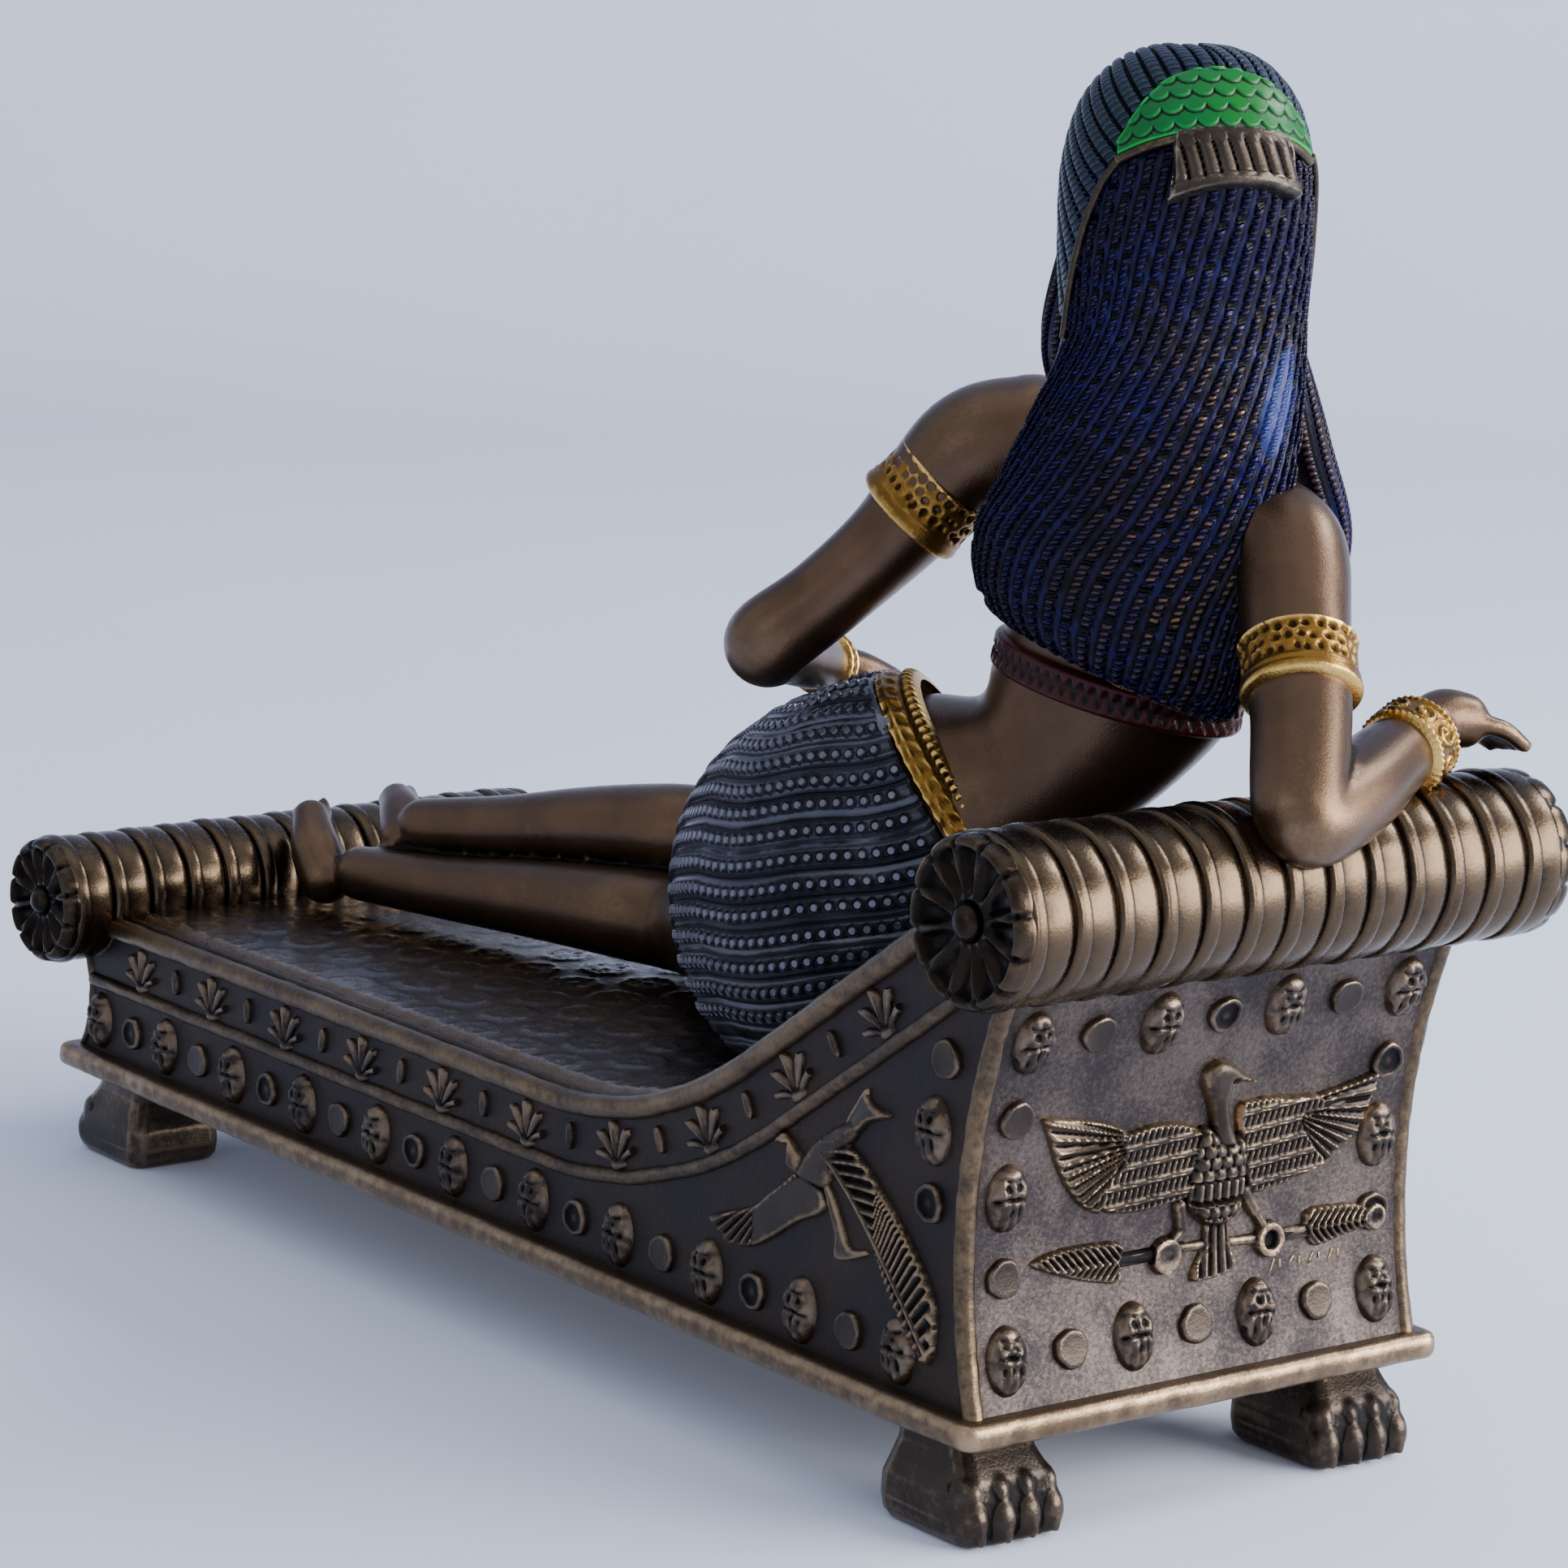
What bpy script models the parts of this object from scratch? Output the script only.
"""Figurine of a woman in ancient dress reclining on a couch, cast in two pieces.

Metres, +Z up. X runs along the couch with the raised head end at +X. The open
front of the couch and the front of the figure face +Y. The paws stand on z = 0.
"""

import math

import bmesh
import bpy
import numpy as np
from mathutils import Matrix, Vector

MM = 0.001

# Couch, millimetres
SLAB_X0 = -126.1
SLAB_X1 = 115.7
SLAB_HALF = 41.5
SLAB_TOP = 17.7
SLAB_DEEP = 3.8
WALL_HALF = 38.2
GAP = 0.3
LAP = 0.5
SPARE = 1.0
CLEARANCE_SIDES = 32
HEAD_ROLL_X = 118.9
HEAD_ROLL_Z = 84.8
HEAD_ROLL_R = 11.6
FOOT_ROLL_X = -120.6
FOOT_ROLL_Z = 42.9
FOOT_ROLL_R = 10.5
ROLL_HALF = 47.8
ROLL_BANDS = 13
ROSETTE_PETALS = 12
ROSETTE_DEEP = 2.2
RAIL_R = 1.7
LOW_RAIL_R = 1.2
RAIL_SIDES = 6
MATTRESS_HALF = 34.5
MATTRESS_RISE = 1.5
HEAD_WALL_FOOT = 112.9
HEAD_WALL_TOP = 118.9
HEAD_WALL_TOP_Z = 78.0
HEAD_WALL_SAG = 5.45
FOOT_WALL_FOOT = -122.6
FOOT_WALL_TOP_Z = 36.0
FOOT_WALL_SAG = 3.0
SLAB_ROUND = 0.9
RAIL_Z = 39.4
RAIL_SLOPE = 33.8
RAIL_BEND_R = 89.0
RAIL_BEND_X = 13.6
RIDGE_R = 1.6
FRIEZE_TALL = 10.1
RAIL_STEPS = 6
GROOVE_DEEP = 0.9
RELIEF_ROOT = 1.0
GRID_PITCH = 10.7
GRID_ROWS = 5
GRID_COLUMNS = 7
GRID_Z = 24.2
PALMETTE_SPREAD = 42.0
PALMETTE_DEEP = 1.0
PETAL_LONG = 5.2
PAW_LONG = 21.0
PAW_WIDE = 17.0
PAW_ROUND = 1.6
PAW_INSET_X = 1.2
PAW_INSET_Y = 2.5
TOES = 4
SCARABS = 11
SCARAB_HEAD_INSET = 15.5
SCARAB_FOOT_INSET = 7.0
SCARAB_Z = 22.9
SCARAB_TALL = 9.6
SCARAB_WIDE = 6.6
SCARAB_DEEP = 1.7
DISC_R = 2.6
DISC_DEEP = 1.0
PALMETTES = 10
PALMETTE_HEAD_INSET = 27.7
PALMETTE_FOOT_INSET = 18.5
BIRD_DEEP = 1.5
# Studs beside the corner ridge of a long wall, as x and z
SIDE_DISCS = ((105.5, 63.6), (103.0, 44.1))
SIDE_SCARABS = ((103.2, 53.7),)
# Falcon of a long wall, as x and z: two wings, body with tail, leg
FALCON_WINGS = (((78.5, 43.5), (70.0, 36.0), (57.1, 31.6), (63.5, 28.5)),
                ((81.5, 46.5), (93.4, 43.6), (106.0, 31.0), (104.8, 23.9)))
FALCON_BODY = ((73.0, 45.0), (77.0, 41.5), (82.0, 43.5), (90.5, 51.0), (95.0, 53.4), (88.2, 56.6),
               (85.5, 52.5), (78.0, 47.5))
FALCON_LEG = ((81.5, 42.0), (84.5, 42.0), (89.5, 34.0), (86.0, 32.5))
# Vulture of the head wall, as y and z: two wings, body with tail, head with beak
VULTURE_WINGS = (((0.5, 52.0), (-14.9, 51.5), (-28.3, 55.8), (-15.6, 41.5)),
                 ((4.5, 52.0), (16.7, 51.5), (29.5, 55.0), (20.0, 41.5)))
VULTURE_BODY = ((2.4, 54.0), (5.5, 51.0), (6.5, 44.0), (4.0, 38.0), (5.0, 31.0), (-0.5, 31.0),
                (0.7, 38.0), (-1.8, 44.0), (-0.8, 51.0))
VULTURE_HEAD = ((0.0, 53.0), (3.8, 53.0), (4.2, 56.0), (8.4, 56.2), (5.0, 58.6), (1.5, 59.6),
                (-0.9, 57.5))
# Feather staff that the vulture holds: two fans and the rod as y0, y1 and half height, and its rings
STAFF_Z = 35.0
STAFF_PARTS = ((-28.2, -13.6, 2.4), (-13.8, 19.9, 0.8), (19.7, 30.5, 2.2))
STAFF_RINGS = (-5.9, 11.7)
STAFF_RING_R = 2.4

# Figure, millimetres
WAIST_HALF = 14.0
HIP_HALF = 29.3
HEAD_HALF = 12.2
WIG_HALF = 17.0
ARM_R = 6.6
CALF_R = 7.2
ANKLE_R = 4.5
BELT_WIDE = 5.5
# Sections of a paw: back end and toe end in paw lengths, side squeeze, height in paw heights
PAW_SECTIONS = ((0.95, 0.24, 1.2, 1.0), (0.92, 0.22, 1.4, 0.76), (0.97, 0.09, 0.6, 0.55),
                (1.0, 0.05, 0.0, 0.21), (0.94, 0.08, 0.6, 0.0))
# Sections of a toe: distance back from the tip in paw lengths, height in paw heights
TOE_SECTIONS = ((0.04, 0.0), (0.0, 0.22), (0.105, 0.58))
TOE_LONG = 3.0

# Torso from hips to neck: centre, leftward direction, half width, back and front depth
TORSO = ((48.0, -4.0, 74.0, -0.25, 0.0, 0.97, 23.0, 16.5, 14.0),
         (60.0, -1.5, 84.0, -0.42, 0.0, 0.90, 17.5, 13.5, 12.0),
         (71.3, 3.1, 91.8, -0.70, -0.10, 0.70, 0.94 * WAIST_HALF, 10.5, 10.0),
         (77.5, 6.0, 99.5, -0.85, -0.25, 0.45, 1.12 * WAIST_HALF, 10.5, 10.5),
         (82.0, 8.0, 106.0, -0.90, -0.37, 0.20, 17.6, 11.0, 12.0),
         (84.0, 8.5, 116.0, -0.90, -0.37, 0.20, 18.4, 11.5, 12.5),
         (85.4, 9.0, 125.0, -0.90, -0.37, 0.20, 19.0, 11.0, 11.5),
         (86.0, 9.5, 132.0, -0.90, -0.37, 0.20, 18.0, 9.5, 9.0),
         (86.6, 9.5, 137.5, -0.85, -0.45, 0.15, 11.5, 8.0, 7.5),
         (87.4, 9.2, 143.0, -0.60, -0.75, 0.10, 7.2, 7.0, 6.5),
         (90.5, 7.8, 156.0, -0.27, -0.96, 0.0, 6.4, 6.6, 6.4))
SKIRT = ((-10.0, 18.0, 57.5, 0.0, 0.1, 0.99, 16.0, 12.5, 12.0),
         (1.0, 12.5, 59.5, 0.0, 0.1, 0.99, 18.5, 14.5, 13.0),
         (15.0, 5.5, 62.5, -0.05, 0.1, 0.99, 23.0, 18.0, 14.0),
         (30.0, -1.0, 66.5, -0.15, 0.05, 0.98, 28.2, 21.5, 15.5),
         (44.5, -4.5, 70.5, -0.25, 0.0, 0.97, HIP_HALF, 20.5, 16.0),
         (55.0, -3.5, 79.0, -0.33, 0.0, 0.94, 25.0, 17.5, 14.5),
         (62.0, -1.0, 86.0, -0.42, 0.0, 0.90, 18.6, 14.8, 12.8))
WIG = ((94.5, 4.8, 190.8, -0.27, -0.96, 0.0, 5.5, 5.5, 5.5),
       (94.4, 5.2, 188.4, -0.27, -0.96, 0.0, 10.2, 10.0, 10.5),
       (94.3, 5.4, 183.0, -0.27, -0.96, 0.0, 14.3, 14.2, 14.6),
       (94.3, 5.6, 175.0, -0.27, -0.96, 0.0, 0.95 * WIG_HALF, 16.5, 16.0),
       (94.9, 5.6, 165.0, -0.27, -0.96, 0.0, WIG_HALF, 16.2, 12.5),
       (96.4, 4.7, 154.0, -0.27, -0.96, 0.0, WIG_HALF, 13.5, 7.0),
       (96.0, 2.6, 143.0, -0.50, -0.86, 0.05, 1.05 * WIG_HALF, 9.5, 6.0),
       (94.8, 0.5, 132.0, -0.75, -0.65, 0.12, 1.13 * WIG_HALF, 7.5, 5.5),
       (93.0, -1.3, 120.0, -0.88, -0.42, 0.18, 1.19 * WIG_HALF, 6.5, 5.0),
       (93.5, -1.8, 111.0, -0.90, -0.37, 0.20, 1.02 * WIG_HALF, 5.5, 5.0),
       (96.0, -1.2, 105.0, -0.90, -0.37, 0.20, 0.72 * WIG_HALF, 4.0, 4.0),
       (97.5, -0.8, 101.5, -0.90, -0.37, 0.20, 0.35 * WIG_HALF, 2.5, 2.5))
LEFT_LAPPET = ((87.0, -3.0, 166.0, -0.5, -0.8, 0.0, 4.5, 4.0, 4.0),
               (82.5, -0.5, 152.0, -0.7, -0.6, 0.0, 6.0, 4.5, 4.5),
               (78.0, 8.5, 139.5, -0.9, -0.37, 0.1, 6.8, 4.8, 4.5),
               (74.0, 16.5, 127.0, -0.9, -0.37, 0.1, 6.5, 4.0, 4.0),
               (72.5, 20.0, 115.0, -0.9, -0.37, 0.1, 5.0, 2.5, 2.5))
RIGHT_LAPPET = ((92.5, 17.5, 166.0, -0.5, -0.8, 0.0, 4.5, 4.0, 4.0),
                (93.8, 19.5, 152.0, -0.7, -0.6, 0.0, 6.0, 4.5, 4.5),
                (95.3, 23.0, 139.5, -0.9, -0.37, 0.1, 6.8, 4.8, 4.5),
                (96.8, 26.8, 127.0, -0.9, -0.37, 0.1, 6.5, 4.0, 4.0),
                (95.0, 28.0, 115.0, -0.9, -0.37, 0.1, 5.0, 2.5, 2.5))
# Limbs: centre and radius
LEFT_LEG = ((34.0, -4.0, 82.0, 14.0), (4.0, 10.0, 73.0, 12.0), (-26.0, 28.0, 63.0, 8.0),
            (-42.0, 22.0, 62.0, CALF_R), (-56.0, 17.0, 60.5, 0.88 * CALF_R), (-72.0, 11.5, 58.0, 5.2),
            (-88.0, 6.0, 56.0, ANKLE_R))
RIGHT_LEG = ((38.0, -2.0, 60.0, 15.0), (8.0, 9.0, 54.0, 11.0), (-26.0, 18.0, 49.5, 8.0),
             (-42.0, 13.0, 49.5, CALF_R), (-58.0, 8.5, 49.0, 0.88 * CALF_R), (-76.0, 3.5, 48.0, 5.2),
             (-95.0, -1.5, 47.5, ANKLE_R))
LEFT_FOOT = ((-91.0, 4.5, 53.5, 4.3), (-96.0, 7.0, 56.0, 3.9), (-103.0, 10.0, 58.5, 2.4))
RIGHT_FOOT = ((-101.0, -4.5, 46.0, 4.6), (-105.5, -4.0, 50.5, 4.1), (-111.5, -1.5, 55.8, 2.5))
LEFT_ARM = ((66.5, 4.5, 136.5, 9.0), (60.5, -2.0, 134.2, 8.4), (53.3, -9.0, 122.4, 6.3),
            (46.0, -15.0, 113.3, 0.88 * ARM_R), (40.0, -20.0, 106.8, 0.92 * ARM_R), (34.0, -12.5, 104.5, 5.2),
            (26.5, -2.0, 101.0, 4.4), (20.5, 5.5, 98.5, 3.7))
RIGHT_ARM = ((101.0, 14.5, 127.0, 9.0), (107.0, 14.3, 125.0, 8.2), (114.0, 10.0, 117.0, 7.3),
             (121.5, 4.8, 107.5, ARM_R), (128.8, -0.8, 95.6, 0.95 * ARM_R), (126.0, 9.5, 96.8, 0.95 * ARM_R),
             (121.5, 20.5, 99.6, 5.4), (117.5, 31.0, 102.0, 4.4))
LEFT_HAND = ((20.0, 6.5, 98.0, 3.6), (21.5, 13.0, 95.0, 4.2), (25.0, 18.5, 90.5, 3.2),
             (29.0, 20.5, 86.0, 2.2))
RIGHT_HAND = ((117.3, 32.0, 102.5, 4.0), (116.5, 37.0, 103.6, 4.4), (118.5, 42.0, 101.2, 3.4),
              (120.8, 45.0, 99.4, 1.8))
# Bands: centre, direction, leftward direction, two half widths, width
BANDS = (((61.5, -1.0, 86.0), (0.80, 0.10, 0.59), (-0.42, 0.0, 0.90), 18.8, 14.8, BELT_WIDE),
         ((82.0, 7.6, 105.6), (0.18, 0.07, 0.98), (-0.93, -0.30, 0.20), 18.3, 12.0, 5.0),
         ((56.5, -5.8, 128.0), (7.5, 7.0, 11.0), (1.0, 0.0, 0.0), 8.3, 8.3, 9.0),
         ((118.3, 7.2, 112.0), (-7.5, 5.0, 10.0), (1.0, 0.0, 0.0), 8.0, 8.0, 8.0),
         ((119.5, 26.0, 100.8), (4.0, -9.5, -2.3), (1.0, 0.0, 0.0), 6.2, 6.2, 6.0),
         ((22.0, 3.5, 99.3), (6.0, -7.5, 2.0), (1.0, 0.0, 0.0), 4.8, 4.8, 4.0))
HEAD = Vector((92.0, 6.0, 174.5))
HEAD_FRONT = Vector((-0.963, 0.27, 0.0))
HEAD_RIGHT = Vector((0.27, 0.963, 0.0))
HEAD_UP = Vector((0.0, 0.0, 1.0))
BUST_CENTRE = Vector((80.0, 17.5, 117.0))
BUST_APART = Vector((8.0, 3.3, -1.8))
BUST_ACROSS = Vector((7.2, 3.0, -1.6))
BUST_FRONT = Vector((-2.9, 7.2, 0.0))
BUST_UP = Vector((1.5, 0.4, 7.4))
SKIRT_FLUTES = 14
VOXEL = 0.7
FIGURE_FACES = 3600
WIG_FLUTES = 14


def clear_scene():
    """Remove every object and the data that it leaves behind."""
    for obj in list(bpy.data.objects):
        bpy.data.objects.remove(obj, do_unlink=True)
    for mesh in list(bpy.data.meshes):
        bpy.data.meshes.remove(mesh)


def material(name, color, metallic, roughness):
    """A plain material with its own colour."""
    mat = bpy.data.materials.new(name)
    mat.use_nodes = True
    shader = mat.node_tree.nodes["Principled BSDF"]
    shader.inputs["Base Color"].default_value = (*color, 1.0)
    shader.inputs["Metallic"].default_value = metallic
    shader.inputs["Roughness"].default_value = roughness
    mat.diffuse_color = (*color, 1.0)
    return mat


def add_object(name, bm):
    """Turn a bmesh in millimetres into an object in metres."""
    bmesh.ops.remove_doubles(bm, verts=bm.verts, dist=1e-5)
    bmesh.ops.recalc_face_normals(bm, faces=bm.faces)
    bmesh.ops.scale(bm, vec=(MM, MM, MM), verts=bm.verts)
    mesh = bpy.data.meshes.new(name)
    bm.to_mesh(mesh)
    bm.free()
    obj = bpy.data.objects.new(name, mesh)
    bpy.context.scene.collection.objects.link(obj)
    return obj


def bake(obj):
    """Apply the object's modifiers through its evaluated mesh."""
    graph = bpy.context.evaluated_depsgraph_get()
    mesh = bpy.data.meshes.new_from_object(obj.evaluated_get(graph))
    obj.modifiers.clear()
    obj.data = mesh
    return obj


def boolean(obj, other, operation):
    """Join, cut or intersect with another object and remove that one."""
    mod = obj.modifiers.new(operation.title(), 'BOOLEAN')
    mod.operation = operation
    mod.solver = 'EXACT'
    mod.use_self = operation == 'UNION'
    mod.object = other
    bake(obj)
    bpy.data.objects.remove(other, do_unlink=True)
    return obj


def spline(points, steps):
    """Catmull-Rom curve through rows of numbers."""
    rows = np.asarray(points, float)
    ends = np.vstack([2 * rows[0] - rows[1], rows, 2 * rows[-1] - rows[-2]])
    out = []
    for i in range(1, len(ends) - 2):
        a, b, c, d = ends[i - 1], ends[i], ends[i + 1], ends[i + 2]
        for k in range(steps):
            t = k / steps
            out.append(0.5 * (2 * b + (c - a) * t + (2 * a - 5 * b + 4 * c - d) * t ** 2
                              + (3 * b - a - 3 * c + d) * t ** 3))
    out.append(rows[-1])
    return np.array(out)


def loft(bm, rings):
    """Skin a row of closed rings and cap both ends."""
    loops = [[bm.verts.new(p) for p in ring] for ring in rings]
    count = len(loops[0])
    for low, high in zip(loops, loops[1:]):
        for i in range(count):
            j = (i + 1) % count
            bm.faces.new((low[i], low[j], high[j], high[i]))
    bm.faces.new(loops[0])
    bm.faces.new(loops[-1])


def prism(bm, outline, low, high, place):
    """Extrude an outline between two levels through a placing function."""
    rings = [[place(a, b, level) for a, b in outline] for level in (low, high)]
    loft(bm, rings)


def wall_x(z):
    """Hollow line of the head wall."""
    t = (z - SLAB_TOP) / (HEAD_WALL_TOP_Z - SLAB_TOP)
    lean = HEAD_WALL_FOOT + (HEAD_WALL_TOP - HEAD_WALL_FOOT) * t
    return lean - HEAD_WALL_SAG * 4 * t * (1 - t)


def foot_wall_x(z):
    """Hollow line of the foot wall."""
    t = (z - SLAB_TOP) / (FOOT_WALL_TOP_Z - SLAB_TOP)
    return FOOT_WALL_FOOT + FOOT_WALL_SAG * 4 * t * (1 - t)


def rail_line(drop, x_start, x_end, steps):
    """Flat run, bend and slope of the seat line, moved down by a distance."""
    slope = math.radians(RAIL_SLOPE)
    radius = RAIL_BEND_R + drop
    centre_z = RAIL_Z + RAIL_BEND_R
    points = [(x_start, centre_z - radius)]
    for i in range(steps + 1):
        angle = slope * i / steps
        points.append((RAIL_BEND_X + radius * math.sin(angle), centre_z - radius * math.cos(angle)))
    last_x, last_z = points[-1]
    points.append((x_end, last_z + (x_end - last_x) * math.tan(slope)))
    return points


def sweep(bm, path, side_y, radius, sides):
    """Round bar along a path of (x, z) points in an upright plane."""
    rings = []
    for i, (x, z) in enumerate(path):
        ahead = path[min(i + 1, len(path) - 1)]
        behind = path[max(i - 1, 0)]
        run = Vector((ahead[0] - behind[0], ahead[1] - behind[1])).normalized()
        ring = []
        for k in range(sides):
            angle = 2 * math.pi * k / sides
            out = radius * math.cos(angle)
            rise = radius * math.sin(angle)
            ring.append((x - run.y * rise, side_y + out, z + run.x * rise))
        rings.append(ring)
    loft(bm, rings)


def ring_outline(half_a, half_b, sides, centre_a=0.0, centre_b=0.0):
    """Oval outline."""
    return [(centre_a + half_a * math.cos(2 * math.pi * i / sides),
             centre_b + half_b * math.sin(2 * math.pi * i / sides)) for i in range(sides)]


def boss(bm, place, a, b, half_a, half_b, deep, sides, top=0.6):
    """Low relief knob that leaves the wall with a smaller top."""
    root = [place(p, q, -RELIEF_ROOT) for p, q in ring_outline(1.1 * half_a, 1.1 * half_b, sides, a, b)]
    crown = [place(p, q, deep) for p, q in ring_outline(top * half_a, top * half_b, sides, a, b)]
    loft(bm, [root, crown])


def plate(bm, place, outline, deep, shrink=0.82):
    """Raised flat figure with a slightly smaller top."""
    middle_a = sum(p for p, q in outline) / len(outline)
    middle_b = sum(q for p, q in outline) / len(outline)
    top = [(middle_a + shrink * (p - middle_a), middle_b + shrink * (q - middle_b)) for p, q in outline]
    rings = [[place(p, q, -RELIEF_ROOT) for p, q in outline],
             [place(p, q, deep) for p, q in top]]
    loft(bm, rings)


def side_place(side):
    """Placing function of one long wall: a is x and b is z."""
    return lambda a, b, level: (a, side * (WALL_HALF + level), b)


def head_place(a, b, level):
    """Placing function of the head wall: a is y and b is z."""
    return (wall_x(b) + level, a, b)


def foot_place(a, b, level):
    """Placing function of the foot wall: a is y and b is z."""
    return (foot_wall_x(b) - level, a, b)


def scarab(bm, place, a, b):
    """Beetle as a low oval knob."""
    boss(bm, place, a, b, SCARAB_WIDE / 2, SCARAB_TALL / 2, SCARAB_DEEP, 8)


def disc(bm, place, a, b):
    """Flat round stud."""
    plate(bm, place, ring_outline(DISC_R, DISC_R, 7, a, b), DISC_DEEP, 0.9)


def palmette(bm, place, a, b, turn):
    """Three petals that spread from a foot."""
    half = PETAL_LONG / 2
    side_a = half * math.sin(math.radians(PALMETTE_SPREAD)) * 1.6
    outline = ((0.0, -half), (side_a, 0.3 * half), (0.45 * half, 0.1 * half), (0.0, half),
               (-0.45 * half, 0.1 * half), (-side_a, 0.3 * half))
    cos = math.cos(turn)
    sin = math.sin(turn)
    turned = [(a + p * cos - q * sin, b + p * sin + q * cos) for p, q in outline]
    plate(bm, place, turned, PALMETTE_DEEP, 0.75)


def wing(bm, place, root, joint, tip, trail, deep):
    """Bird's wing as an arm and a fan of long feathers."""
    inner = ((root[0] + trail[0]) / 2, (root[1] + trail[1]) / 2)
    plate(bm, place, [root, joint, tip, trail, inner], deep, 0.9)


def stitch(bm, low, high):
    """Join a ring to one with as many, twice or half as many points."""
    if len(low) == len(high):
        for i in range(len(low)):
            j = (i + 1) % len(low)
            bm.faces.new((low[i], low[j], high[j], high[i]))
        return
    few, many = (low, high) if len(low) < len(high) else (high, low)
    for i in range(len(few)):
        j = (i + 1) % len(few)
        start, middle, end = many[2 * i], many[2 * i + 1], many[2 * j]
        bm.faces.new((few[i], middle, start))
        bm.faces.new((few[i], few[j], middle))
        bm.faces.new((few[j], end, middle))


def add_roll(name, x, z, radius):
    """Banded bolster with petalled ends."""
    barrel = ROLL_HALF - ROSETTE_DEEP
    pitch = 2 * barrel / ROLL_BANDS
    rings = []
    for i in range(ROLL_BANDS + 1):
        y = -barrel + i * pitch
        rings.append((y, radius - GROOVE_DEEP, 1.0, ROSETTE_PETALS))
        if i < ROLL_BANDS:
            rings.append((y + 0.28 * pitch, radius, 1.0, ROSETTE_PETALS))
    end = ((barrel + LAP, 0.97 * radius, 0.88, 2 * ROSETTE_PETALS),
           (barrel + ROSETTE_DEEP, 0.5 * radius, 0.82, 2 * ROSETTE_PETALS),
           (barrel + 0.6 * ROSETTE_DEEP, 0.22 * radius, 1.0, ROSETTE_PETALS),
           (ROLL_HALF, 0.14 * radius, 1.0, ROSETTE_PETALS))
    rings += end
    rings = [(-y, r, dent, count) for y, r, dent, count in reversed(end)] + rings
    bm = bmesh.new()
    loops = []
    for y, r, dent, count in rings:
        reach = [r * (dent if k % 2 else 1.0) for k in range(count)]
        loops.append([bm.verts.new((x + reach[k] * math.cos(2 * math.pi * k / count), y,
                                    z + reach[k] * math.sin(2 * math.pi * k / count))) for k in range(count)])
    for low, high in zip(loops, loops[1:]):
        stitch(bm, low, high)
    bm.faces.new(loops[0])
    bm.faces.new(loops[-1])
    return add_object(name, bm)


def add_paws():
    """Four lion paws with the toes turned to the ends of the couch."""
    bm = bmesh.new()
    tall = SLAB_TOP - SLAB_DEEP + LAP
    for end in (-1, 1):
        tip = SLAB_X1 - PAW_INSET_X if end > 0 else SLAB_X0 + PAW_INSET_X
        for side in (-1, 1):
            outer = side * (SLAB_HALF - PAW_INSET_Y)
            inner = side * (SLAB_HALF - PAW_INSET_Y - PAW_WIDE)
            rings = []
            for back, front, squeeze, rise in PAW_SECTIONS:
                x0 = tip - end * back * PAW_LONG
                x1 = tip - end * front * PAW_LONG
                y0 = outer - side * squeeze
                y1 = inner + side * squeeze
                z = rise * tall
                in_x0 = x0 + end * PAW_ROUND
                in_x1 = x1 - end * PAW_ROUND
                in_y0 = y0 - side * PAW_ROUND
                in_y1 = y1 + side * PAW_ROUND
                rings.append([(in_x0, y0, z), (in_x1, y0, z), (x1, in_y0, z), (x1, in_y1, z),
                              (in_x1, y1, z), (in_x0, y1, z), (x0, in_y1, z), (x0, in_y0, z)])
            loft(bm, rings)
    paws = add_object("paws", bm)
    toes = bmesh.new()
    for end in (-1, 1):
        tip = SLAB_X1 - PAW_INSET_X if end > 0 else SLAB_X0 + PAW_INSET_X
        for side in (-1, 1):
            for k in range(TOES):
                y = side * (SLAB_HALF - PAW_INSET_Y - PAW_WIDE * (k + 0.5) / TOES)
                half = 0.47 * PAW_WIDE / TOES
                rings = []
                for reach, rise in TOE_SECTIONS:
                    x = tip - end * reach * PAW_LONG
                    x_side = x - end * TOE_LONG / 3
                    x_back = x - end * TOE_LONG
                    z = rise * tall
                    rings.append([(x_back, y - half, z), (x_side, y - 0.85 * half, z), (x, y, z),
                                  (x_side, y + 0.85 * half, z), (x_back, y + half, z)])
                loft(toes, rings)
    return boolean(paws, add_object("toes", toes), 'UNION')


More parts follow.
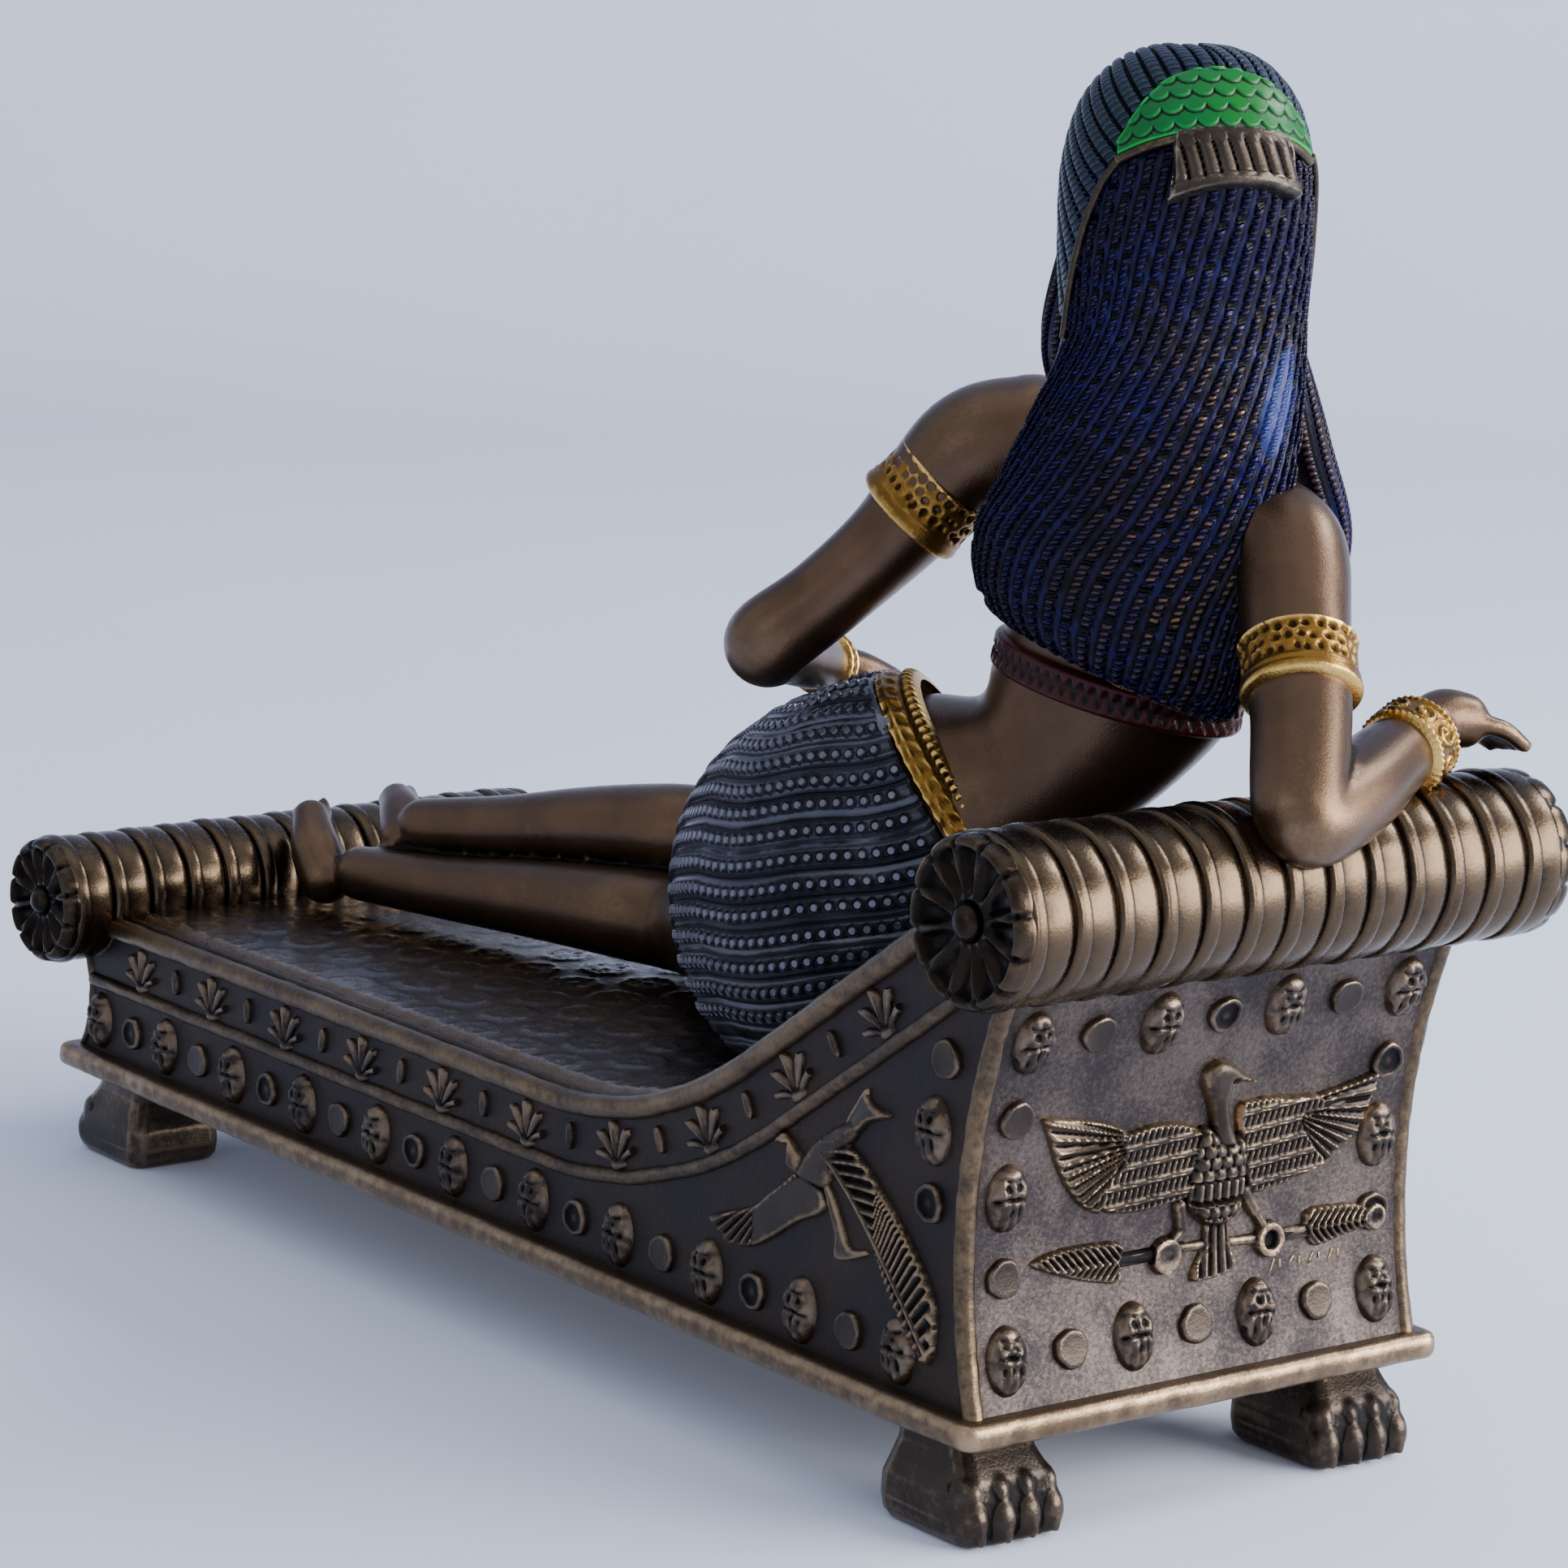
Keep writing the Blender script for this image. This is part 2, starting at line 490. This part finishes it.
def add_couch():
    """The couch as one casting."""
    bm = bmesh.new()
    outline = [(SLAB_X0, -SLAB_HALF), (SLAB_X1, -SLAB_HALF), (SLAB_X1, SLAB_HALF), (SLAB_X0, SLAB_HALF)]
    prism(bm, outline, SLAB_TOP - SLAB_DEEP, SLAB_TOP, lambda a, b, level: (a, b, level))
    couch = add_object("couch", bm)
    edge = couch.modifiers.new("Edge", 'BEVEL')
    edge.width = SLAB_ROUND * MM
    edge.segments = 1
    edge.limit_method = 'ANGLE'
    bake(couch)
    boolean(couch, add_paws(), 'UNION')

    body = bmesh.new()
    head_steps = 6
    rise = HEAD_WALL_TOP_Z - SLAB_TOP
    shape = [(wall_x(SLAB_TOP), SLAB_TOP - LAP)]
    shape += [(wall_x(SLAB_TOP + rise * i / head_steps), SLAB_TOP + rise * i / head_steps)
              for i in range(1, head_steps + 1)]
    shape.append((HEAD_ROLL_X, HEAD_ROLL_Z))
    top = rail_line(0.0, FOOT_ROLL_X + 0.8 * FOOT_ROLL_R, HEAD_ROLL_X - 0.85 * HEAD_ROLL_R, RAIL_STEPS)
    shape += list(reversed(top))
    shape.append((FOOT_ROLL_X, FOOT_ROLL_Z))
    foot_rise = FOOT_WALL_TOP_Z - SLAB_TOP
    shape += [(foot_wall_x(SLAB_TOP + foot_rise * i / 3), SLAB_TOP + foot_rise * i / 3) for i in (3, 2, 1)]
    shape.append((foot_wall_x(SLAB_TOP), SLAB_TOP - LAP))
    prism(body, shape, -WALL_HALF, WALL_HALF, lambda a, b, level: (a, level, b))
    boolean(couch, add_object("body", body), 'UNION')

    seat = bmesh.new()
    seat_ends = (FOOT_ROLL_X + 0.7 * FOOT_ROLL_R, HEAD_ROLL_X - 0.7 * HEAD_ROLL_R)
    cover = rail_line(-MATTRESS_RISE, *seat_ends, RAIL_STEPS)
    under = rail_line(2.0 * LAP, *seat_ends, RAIL_STEPS)
    prism(seat, cover + list(reversed(under)), -MATTRESS_HALF, MATTRESS_HALF, lambda a, b, level: (a, level, b))
    boolean(couch, add_object("seat", seat), 'UNION')

    rails = bmesh.new()
    ends_x = (FOOT_ROLL_X + 0.3 * FOOT_ROLL_R, HEAD_ROLL_X - 0.6 * HEAD_ROLL_R)
    corner = [(wall_x(SLAB_TOP + rise * i / 5), SLAB_TOP + rise * i / 5) for i in range(6)]
    corner[0] = (wall_x(SLAB_TOP), SLAB_TOP - 1.2 * LAP)
    low_ends = (FOOT_ROLL_X, HEAD_ROLL_X - 0.9 * HEAD_ROLL_R)
    for side in (-1, 1):
        middle_y = side * (WALL_HALF - 0.2 * LAP)
        sweep(rails, rail_line(0.6 * LAP, *ends_x, RAIL_STEPS), middle_y, RAIL_R, RAIL_SIDES)
        sweep(rails, rail_line(FRIEZE_TALL, *low_ends, RAIL_STEPS), middle_y, LOW_RAIL_R, RAIL_SIDES)
    boolean(couch, add_object("rails", rails), 'UNION')
    ridges = bmesh.new()
    for side in (-1, 1):
        ridge = [(x - 0.5 * RIDGE_R, z) for x, z in corner]
        sweep(ridges, ridge, side * (WALL_HALF - 0.2 * LAP), RIDGE_R, RAIL_SIDES)
    boolean(couch, add_object("ridges", ridges), 'UNION')

    boolean(couch, add_roll("head_roll", HEAD_ROLL_X, HEAD_ROLL_Z, HEAD_ROLL_R), 'UNION')
    boolean(couch, add_roll("foot_roll", FOOT_ROLL_X, FOOT_ROLL_Z, FOOT_ROLL_R), 'UNION')

    relief = bmesh.new()
    first_x = HEAD_WALL_FOOT - SCARAB_HEAD_INSET
    pitch = (first_x - FOOT_WALL_FOOT - SCARAB_FOOT_INSET) / (SCARABS - 1)
    for side in (-1, 1):
        place = side_place(side)
        for i in range(SCARABS):
            x = first_x - i * pitch
            scarab(relief, place, x, SCARAB_Z)
            if i < SCARABS - 1:
                disc(relief, place, x - pitch / 2, SCARAB_Z)
        for x, z in SIDE_DISCS:
            disc(relief, place, x, z)
        for x, z in SIDE_SCARABS:
            scarab(relief, place, x, z)
    for row in range(GRID_ROWS):
        for column in range(GRID_COLUMNS):
            if row in (0, GRID_ROWS - 1) or column in (0, GRID_COLUMNS - 1):
                y = (column - (GRID_COLUMNS - 1) / 2) * GRID_PITCH
                shape_of = disc if (row + column) % 2 else scarab
                shape_of(relief, head_place, y, GRID_Z + row * GRID_PITCH)
                if row == 0:
                    shape_of(relief, foot_place, y, GRID_Z)
    boolean(couch, add_object("relief", relief), 'UNION')

    frieze = bmesh.new()
    middle = np.array(rail_line(0.5 * FRIEZE_TALL, FOOT_ROLL_X, HEAD_ROLL_X, 12))
    run = np.concatenate(([0.0], np.cumsum(np.hypot(*np.diff(middle, axis=0).T))))
    first = float(np.interp(HEAD_ROLL_X - PALMETTE_HEAD_INSET, middle[:, 0], run))
    for i in range(PALMETTES):
        at = first + (PALMETTE_FOOT_INSET - first) * i / (PALMETTES - 1)
        x, ahead_x = (float(np.interp(at + d, run, middle[:, 0])) for d in (0.0, 1.0))
        z, ahead_z = (float(np.interp(at + d, run, middle[:, 1])) for d in (0.0, 1.0))
        for side in (-1, 1):
            palmette(frieze, side_place(side), x, z, math.atan2(ahead_z - z, ahead_x - x))
    boolean(couch, add_object("frieze", frieze), 'UNION')

    birds = bmesh.new()
    for side in (-1, 1):
        place = side_place(side)
        for row in FALCON_WINGS:
            wing(birds, place, *row, 0.8 * BIRD_DEEP)
        plate(birds, place, FALCON_BODY, BIRD_DEEP)
        plate(birds, place, FALCON_LEG, 0.7 * BIRD_DEEP)
    for row in VULTURE_WINGS:
        wing(birds, head_place, *row, BIRD_DEEP)
    plate(birds, head_place, VULTURE_BODY, 1.6 * BIRD_DEEP, 0.75)
    plate(birds, head_place, VULTURE_HEAD, 1.4 * BIRD_DEEP)
    for y0, y1, half in STAFF_PARTS:
        widest = 0.6 * y0 + 0.4 * y1
        outline = [(y0, -0.3 * half), (widest, -half), (y1, -0.7 * half),
                   (y1, 0.7 * half), (widest, half), (y0, 0.3 * half)]
        plate(birds, head_place, [(y, STAFF_Z + rise) for y, rise in outline], 0.8 * BIRD_DEEP, 0.85)
    for y in STAFF_RINGS:
        boss(birds, head_place, y, STAFF_Z, STAFF_RING_R, STAFF_RING_R, 1.1 * BIRD_DEEP, 8, 0.7)
    boolean(couch, add_object("birds", birds), 'UNION')
    couch.name = "couch"
    couch.data.name = "couch"
    return couch


def tube(bm, rows, sides, steps):
    """Round limb through rows of x, y, z and radius, with rounded ends."""
    path = spline(rows, steps)
    centres = [Vector(p[:3]) for p in path]
    radii = [float(p[3]) for p in path]
    head_dir = (centres[-1] - centres[-2]).normalized()
    tail_dir = (centres[0] - centres[1]).normalized()
    centres = ([centres[0] + tail_dir * radii[0] * 0.75] + centres
               + [centres[-1] + head_dir * radii[-1] * 0.75])
    radii = [0.6 * radii[0]] + radii + [0.6 * radii[-1]]
    guide = Vector((0.0, 0.0, 1.0))
    rings = []
    for i, centre in enumerate(centres):
        run = (centres[min(i + 1, len(centres) - 1)] - centres[max(i - 1, 0)]).normalized()
        across = guide - run * guide.dot(run)
        if across.length < 0.2:
            across = Vector((0.0, 1.0, 0.0)) - run * run.y
        across.normalize()
        other = run.cross(across)
        guide = across
        rings.append([centre + (across * math.cos(2 * math.pi * k / sides)
                                + other * math.sin(2 * math.pi * k / sides)) * radii[i]
                      for k in range(sides)])
    loft(bm, rings)


def section_loft(bm, rows, sides, steps, flute=0.0):
    """Loft of oval sections: centre, leftward direction, half width, back and front depth."""
    path = spline(rows, steps)
    rings = []
    for i, row in enumerate(path):
        centre = Vector(row[:3])
        run = (Vector(path[min(i + 1, len(path) - 1)][:3]) - Vector(path[max(i - 1, 0)][:3])).normalized()
        left = Vector(row[3:6]).normalized()
        front = left.cross(run).normalized()
        ring = []
        for k in range(sides):
            angle = 2 * math.pi * k / sides
            grow = 1.0 + (flute if k % 2 else 0.0)
            deep = row[8] if math.sin(angle) > 0 else row[7]
            ring.append(centre + left * row[6] * grow * math.cos(angle)
                        + front * deep * grow * math.sin(angle))
        rings.append(ring)
    loft(bm, rings)


def ball(bm, centre, axes, sides=10, rows=6):
    """Ellipsoid from a centre and three half-axis vectors."""
    made = bmesh.ops.create_uvsphere(bm, u_segments=sides, v_segments=rows, radius=1.0)
    for vert in made["verts"]:
        p = vert.co.copy()
        vert.co = Vector(centre) + axes[0] * p.x + axes[1] * p.y + axes[2] * p.z


def band(bm, centre, run, left, half_left, half_other, wide, sides=14):
    """Raised band round a limb."""
    run = Vector(run).normalized()
    left = (Vector(left) - run * run.dot(Vector(left))).normalized()
    other = left.cross(run)
    rings = []
    for step, grow in ((-0.5, 0.93), (-0.32, 1.0), (0.32, 1.0), (0.5, 0.93)):
        rings.append([Vector(centre) + run * step * wide
                      + left * half_left * grow * math.cos(2 * math.pi * k / sides)
                      + other * half_other * grow * math.sin(2 * math.pi * k / sides)
                      for k in range(sides)])
    loft(bm, rings)


def add_wig():
    """Wig with an opening for the face and a lappet over each shoulder."""
    bm = bmesh.new()
    section_loft(bm, WIG, 2 * WIG_FLUTES, 2, 0.05)
    wig = add_object("wig", bm)
    face = bmesh.new()
    ball(face, HEAD + HEAD_FRONT * 1.55 * HEAD_HALF - HEAD_UP * 0.62 * HEAD_HALF,
         (HEAD_RIGHT * 0.95 * HEAD_HALF, HEAD_FRONT * 1.25 * HEAD_HALF, HEAD_UP * 1.45 * HEAD_HALF), 14, 8)
    boolean(wig, add_object("face_opening", face), 'DIFFERENCE')
    return wig


def add_figure():
    """The reclining figure as one casting."""
    bm = bmesh.new()
    section_loft(bm, TORSO, 20, 2)
    section_loft(bm, SKIRT, 2 * SKIRT_FLUTES, 2, 0.035)
    for rows in (LEFT_LEG, RIGHT_LEG, LEFT_FOOT, RIGHT_FOOT, LEFT_ARM, RIGHT_ARM, LEFT_HAND, RIGHT_HAND):
        tube(bm, rows, 14, 3)
    for x, y, z, radius in (LEFT_ARM[4], RIGHT_ARM[4]):
        ball(bm, (x, y, z), (Vector((radius, 0, 0)), Vector((0, radius, 0)), Vector((0, 0, radius))), 14, 8)
    for side in (-1, 1):
        ball(bm, BUST_CENTRE + BUST_APART * side, (BUST_ACROSS, BUST_FRONT, BUST_UP))
    for row in BANDS:
        band(bm, *row)
    for rows in (LEFT_LAPPET, RIGHT_LAPPET):
        section_loft(bm, rows, 12, 2, 0.07)
    ball(bm, HEAD, (HEAD_RIGHT * HEAD_HALF, HEAD_FRONT * 1.12 * HEAD_HALF, HEAD_UP * 1.3 * HEAD_HALF), 16, 10)
    ball(bm, HEAD + HEAD_FRONT * 0.32 * HEAD_HALF - HEAD_UP * 0.75 * HEAD_HALF,
         (HEAD_RIGHT * 0.7 * HEAD_HALF, HEAD_FRONT * 0.8 * HEAD_HALF, HEAD_UP * 0.72 * HEAD_HALF), 12, 8)
    ball(bm, HEAD + HEAD_FRONT * 1.08 * HEAD_HALF - HEAD_UP * 0.25 * HEAD_HALF,
         (HEAD_RIGHT * 0.16 * HEAD_HALF, HEAD_FRONT * 0.24 * HEAD_HALF, HEAD_UP * 0.34 * HEAD_HALF), 8, 6)
    ball(bm, HEAD + HEAD_UP * 0.45 * HEAD_HALF - HEAD_FRONT * 0.15 * HEAD_HALF,
         (HEAD_RIGHT * 1.36 * HEAD_HALF, HEAD_FRONT * 1.38 * HEAD_HALF, HEAD_UP * 0.6 * HEAD_HALF), 16, 8)
    wig = add_wig()
    wig.data.transform(Matrix.Scale(1.0 / MM, 4))
    bm.from_mesh(wig.data)
    bpy.data.objects.remove(wig, do_unlink=True)
    figure = add_object("figure", bm)
    skin = figure.modifiers.new("Skin", 'REMESH')
    skin.mode = 'VOXEL'
    skin.voxel_size = VOXEL * MM
    soften = figure.modifiers.new("Soften", 'SMOOTH')
    soften.factor = 0.5
    soften.iterations = 2
    bake(figure)
    faces = sum(len(p.vertices) - 2 for p in figure.data.polygons)
    thin = figure.modifiers.new("Thin", 'DECIMATE')
    thin.ratio = FIGURE_FACES / faces
    return bake(figure)


def add_clearance():
    """Couch outline grown by the gap, used to seat the figure."""
    bm = bmesh.new()
    cover = rail_line(-MATTRESS_RISE - GAP, FOOT_ROLL_X, HEAD_ROLL_X, RAIL_STEPS)
    outline = cover + [(HEAD_ROLL_X, 0.0), (FOOT_ROLL_X, 0.0)]
    prism(bm, outline, -ROLL_HALF - SPARE, ROLL_HALF + SPARE, lambda a, b, level: (a, level, b))
    clearance = add_object("clearance", bm)
    for x, z, radius in ((HEAD_ROLL_X, HEAD_ROLL_Z, HEAD_ROLL_R), (FOOT_ROLL_X, FOOT_ROLL_Z, FOOT_ROLL_R)):
        roll = bmesh.new()
        circle = ring_outline(radius + GAP, radius + GAP, CLEARANCE_SIDES, x, z)
        prism(roll, circle, -ROLL_HALF - 2 * SPARE, ROLL_HALF + 2 * SPARE, lambda a, b, level: (a, level, b))
        boolean(clearance, add_object("roll_clearance", roll), 'UNION')
    return clearance


def finish(obj, mat):
    """Give one material, flat triangles with smooth shading, and tidy the mesh."""
    bm = bmesh.new()
    bm.from_mesh(obj.data)
    bmesh.ops.remove_doubles(bm, verts=bm.verts, dist=1e-5)
    bmesh.ops.dissolve_degenerate(bm, edges=bm.edges, dist=1e-5)
    bmesh.ops.triangulate(bm, faces=[f for f in bm.faces if len(f.verts) > 4])
    bm.to_mesh(obj.data)
    bm.free()
    obj.data.materials.clear()
    obj.data.materials.append(mat)
    obj.data.shade_smooth()
    obj.data.set_sharp_from_angle(angle=math.radians(35.0))
    return obj


def centre_on_origin(objects):
    """Put the middle of the outline over the origin and the paws on z = 0."""
    points = [v.co for obj in objects for v in obj.data.vertices]
    low = [min(p[i] for p in points) for i in range(3)]
    high = [max(p[i] for p in points) for i in range(3)]
    shift = Vector((-(low[0] + high[0]) / 2, -(low[1] + high[1]) / 2, -low[2]))
    for obj in objects:
        for vert in obj.data.vertices:
            vert.co += shift


def main():
    clear_scene()
    couch = add_couch()
    figure = add_figure()
    figure.name = "figure"
    figure.data.name = "figure"
    boolean(figure, add_clearance(), 'DIFFERENCE')
    finish(couch, material("bronze_patina", (0.12, 0.09, 0.07), 0.8, 0.42))
    finish(figure, material("bronze_skin", (0.33, 0.22, 0.14), 0.7, 0.38))
    centre_on_origin([couch, figure])


main()
